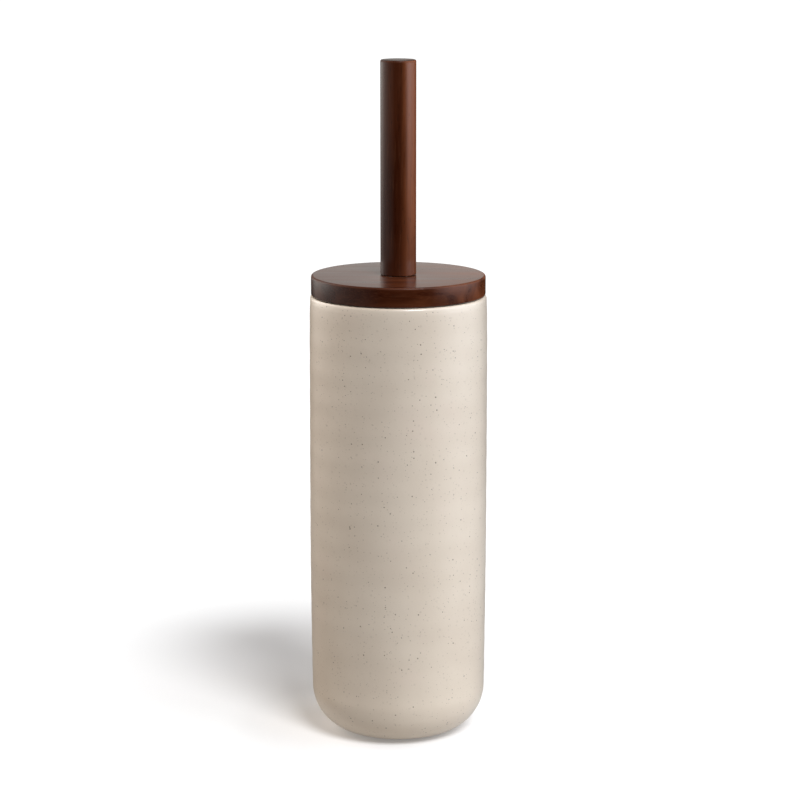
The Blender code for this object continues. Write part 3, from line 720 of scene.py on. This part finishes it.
def make_bristles():
    """Rows of nylon tufts round the core, and the tuft that spreads under it."""
    nylon = nylon_material()
    chance = random.Random(11)
    core_r = spread("head_core")[0]
    rows = sorted(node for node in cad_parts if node.startswith("bristle_row_"))
    for number, node in enumerate(rows):
        reach, low, high = spread(node)
        middle = 0.5 * (low + high)
        bm = bmesh.new()
        for k in range(ROW_TUFTS):
            angle = 2.0 * math.pi * (k + 0.5 * (number % 2)) / ROW_TUFTS
            out = Vector((math.cos(angle), math.sin(angle), 0.0))
            root = out * (core_r - 0.8 * MM) + Vector((0.0, 0.0, middle))
            aside = angle + chance.uniform(-0.07, 0.07)
            way = Vector((math.cos(aside), math.sin(aside), chance.uniform(-0.11, 0.11))).normalized()
            add_tuft(bm, root, way, reach - core_r + 0.3 * MM, chance, ROW_FILAMENTS, ROW_FAN)
        place(piece_from(f"tufts_{number + 1}", bm, nylon, 180.0), "brush", "bristle_nylon", node)
    low, high = spread("bristle_tip")[1:]
    bm = bmesh.new()
    for ring, (count, lean) in enumerate(TIP_RINGS):
        for k in range(count):
            angle = 2.0 * math.pi * k / count + 0.3 * ring
            out = Vector((math.cos(angle), math.sin(angle), 0.0))
            way = (out * lean - Vector((0.0, 0.0, 1.0))).normalized()
            root = out * (TIP_RING_STEP * ring) + Vector((0.0, 0.0, high))
            length = min((high - low) / -way.z, TIP_LONGEST)
            add_tuft(bm, root, way, length, chance, TIP_FILAMENTS, TIP_FAN)
    place(piece_from("tufts_under", bm, nylon, 180.0), "brush", "bristle_nylon", "bristle_tip")


# ---------------------------------------------------------------- floor, light and camera

FLOOR_R = 0.60
FLOOR_TURN = 96
FLOOR_WHITE = (0.705, 0.681, 0.652)
# Away from the holder's axis and from the middle of its shadow, the floor turns into the white surroundings.
# Each pair says where that starts and where it is done.
AXIS_FADE = (0.052, 0.105)
SHADOW_FADE = (0.050, 0.190)
SHADOW_AT = (-0.046, 0.125, 0.0)
FOOT_GLOW = 0.17                    # a little light from the floor close under the base
FOOT_GLOW_REACH = (0.046, 0.090)
BOUNCE_NEAR = (0.40, 0.380, 0.352)  # what the object gets back from the floor, close by and further out
BOUNCE_FAR = (0.13, 0.126, 0.121)
BOUNCE_REACH = (0.055, 0.100)
BACKDROP = 1.1                      # the white that the camera sees all round

# The brightness of the walls, and of the windows, every 22.5 degrees: from straight behind, round by the
# left, the camera's side and the right.
WALLS = (0.0, 0.0, 0.26, 0.40, 0.50, 0.38, 0.24, 0.0, 0.0, 0.0, 0.0, 0.10, 0.10, 0.0, 0.0, 0.0)
WINDOWS = (0.65, 0.10, 3.70, 3.60, 0.95, 0.10, 0.0, 0.0, 0.0, 0.0, 0.0, 2.80, 3.10, 2.10, 0.0, 0.0)
# Heights in the surroundings: 0 is level, 1 is straight up.
ROOM_HEIGHT = (0.55, 0.85)          # the light of the walls and the windows ends between these
WINDOW_FOOT = (-0.22, 0.07)         # and the windows start between these
ROOM_COLOUR = (1.0, 0.944, 0.890)
WINDOW_COLOUR = (0.92, 1.0, 1.12)   # the right half of the room is cooler
KEY_COLOUR = (0.960, 1.0, 1.065)
# azimuth from the camera's side to the right, height, power, apparent size and colour; angles in degrees
SOFTBOXES = ((26.5, 47.5, 3.10, 24.0, KEY_COLOUR),
             (100.0, 60.0, 0.40, 45.0, WINDOW_COLOUR))
CAMERA_AT = (0.92 * MM, -1.455, 0.4813)
CAMERA_DOWN = 10.874                # degrees below level


def make_floor():
    """A plain white floor that melts into the white surroundings away from the holder and its shadow.

    The camera sees the white; the object gets its own, dimmer bounce.
    """
    bm = bmesh.new()
    bmesh.ops.create_circle(bm, cap_ends=True, segments=FLOOR_TURN, radius=FLOOR_R)
    shader = Shader("floor")
    seen = shader.node("ShaderNodeLightPath").outputs["Is Camera Ray"]
    white = shader.mix(shader.noise(3.0, detail=2.0), tuple(0.99 * c for c in FLOOR_WHITE), FLOOR_WHITE)
    from_axis = shader.vector("LENGTH", shader.place, output="Value")
    from_shadow = shader.vector("DISTANCE", shader.place, SHADOW_AT, output="Value")
    bounce = shader.mix(shader.remap(from_axis, *BOUNCE_REACH), BOUNCE_NEAR, BOUNCE_FAR)
    tone = shader.mix(seen, bounce, white)
    past_axis = shader.remap(from_axis, *AXIS_FADE)
    past_shadow = shader.remap(from_shadow, *SHADOW_FADE)
    outside = shader.math("MULTIPLY", past_shadow, past_axis)
    fade = shader.math("MULTIPLY", outside, seen)
    low = shader.remap(from_axis, *FOOT_GLOW_REACH, FOOT_GLOW, 0.0)
    glow = shader.math("ADD", shader.math("MULTIPLY", fade, BACKDROP), low)
    shader.set(Base_Color=shader.mix(fade, tone, BLACK), Roughness=0.9, Specular_IOR_Level=0.0,
               Emission_Color=PLAIN_WHITE, Emission_Strength=glow)
    piece_from("floor", bm, shader.material)


def make_world():
    """Walls and windows behind and beside the object, dark in front; the camera sees plain white."""
    world = bpy.data.worlds.new("studio")
    bpy.context.scene.world = world
    world.use_nodes = True
    tree = world.node_tree
    tree.nodes.clear()

    def node(kind, inputs=None, **settings):
        return add_node(tree, kind, inputs, **settings)

    way = node("ShaderNodeTexCoord").outputs["Generated"]
    parts = node("ShaderNodeSeparateXYZ", {"Vector": way}).outputs
    front = node("ShaderNodeMath", {0: parts["Y"], 1: -1.0}, operation="MULTIPLY").outputs[0]
    azimuth = node("ShaderNodeMath", {0: parts["X"], 1: front}, operation="ARCTAN2").outputs[0]
    whole_turn = {"Value": azimuth, "From Min": -math.pi, "From Max": math.pi}
    share = node("ShaderNodeMapRange", whole_turn).outputs[0]

    def around(levels):
        """A colour for every azimuth, from the levels at equal steps."""
        ramp = node("ShaderNodeValToRGB", {"Fac": share})
        stops = ramp.color_ramp.elements
        for k in range(1, len(levels)):
            stops.new(k / len(levels))
        for number, level in enumerate(levels + levels[:1]):
            tint = WINDOW_COLOUR if len(levels) // 2 < number < len(levels) else ROOM_COLOUR
            stops[number].color = (*(level * c for c in tint), 1.0)
        return ramp.outputs["Color"]

    above_foot = smooth_step(tree, parts["Z"], *WINDOW_FOOT)
    scaled = {0: around(WINDOWS), "Scale": above_foot}
    windows = node("ShaderNodeVectorMath", scaled, operation="SCALE").outputs[0]
    both = node("ShaderNodeVectorMath", {0: windows, 1: around(WALLS)}, operation="ADD").outputs[0]
    below_top = smooth_step(tree, parts["Z"], *ROOM_HEIGHT, 1.0, 0.0)
    room = node("ShaderNodeBackground", {"Color": both, "Strength": below_top}).outputs[0]
    white = node("ShaderNodeBackground", {"Color": PLAIN_WHITE, "Strength": BACKDROP}).outputs[0]
    seen = node("ShaderNodeLightPath").outputs["Is Camera Ray"]
    mixed = node("ShaderNodeMixShader", {0: seen, 1: room, 2: white}).outputs[0]
    node("ShaderNodeOutputWorld", {"Surface": mixed})


def make_softboxes():
    """Large soft sources: the key at the upper right front, and a weak one high at the right side."""
    for number, (azimuth, height, power, width, colour) in enumerate(SOFTBOXES):
        data = bpy.data.lights.new(f"softbox_{number}", "SUN")
        data.angle = math.radians(width)
        data.energy = power
        data.color = colour
        light = bpy.data.objects.new(f"softbox_{number}", data)
        turn = math.radians(azimuth)
        rise = math.radians(height)
        way = Vector((math.sin(turn) * math.cos(rise), -math.cos(turn) * math.cos(rise), math.sin(rise)))
        light.rotation_euler = way.to_track_quat("Z", "Y").to_euler()
        bpy.context.scene.collection.objects.link(light)


def make_camera():
    """Eye a little above the lid, looking slightly down."""
    data = bpy.data.cameras.new("camera")
    data.lens = 121.84
    data.sensor_width = 36.0
    data.shift_y = -0.0366
    data.clip_end = 100.0
    camera = bpy.data.objects.new("camera", data)
    camera.location = CAMERA_AT
    camera.rotation_euler = (math.radians(90.0 - CAMERA_DOWN), 0.0, 0.0)
    bpy.context.scene.collection.objects.link(camera)
    bpy.context.scene.camera = camera


def main():
    """Builds the stage, then every piece."""
    bpy.context.scene.view_settings.view_transform = "Standard"
    make_camera()
    make_world()
    make_softboxes()
    make_floor()
    steel = metal_material("stem_steel", (0.60, 0.59, 0.57), 0.27, 4200.0)
    hardware = metal_material("zinc_steel", (0.55, 0.56, 0.58), 0.36, 2600.0)
    make_canister()
    make_foot_pads()
    make_liner()
    make_seal_ring()
    make_lid()
    make_handle()
    make_plug()
    make_screws(hardware)
    make_stem(steel, hardware)
    make_head_core()
    make_bristles()
    dress("handle_insert", metal_material("insert_brass", (0.74, 0.55, 0.24), 0.30, 3000.0))


main()
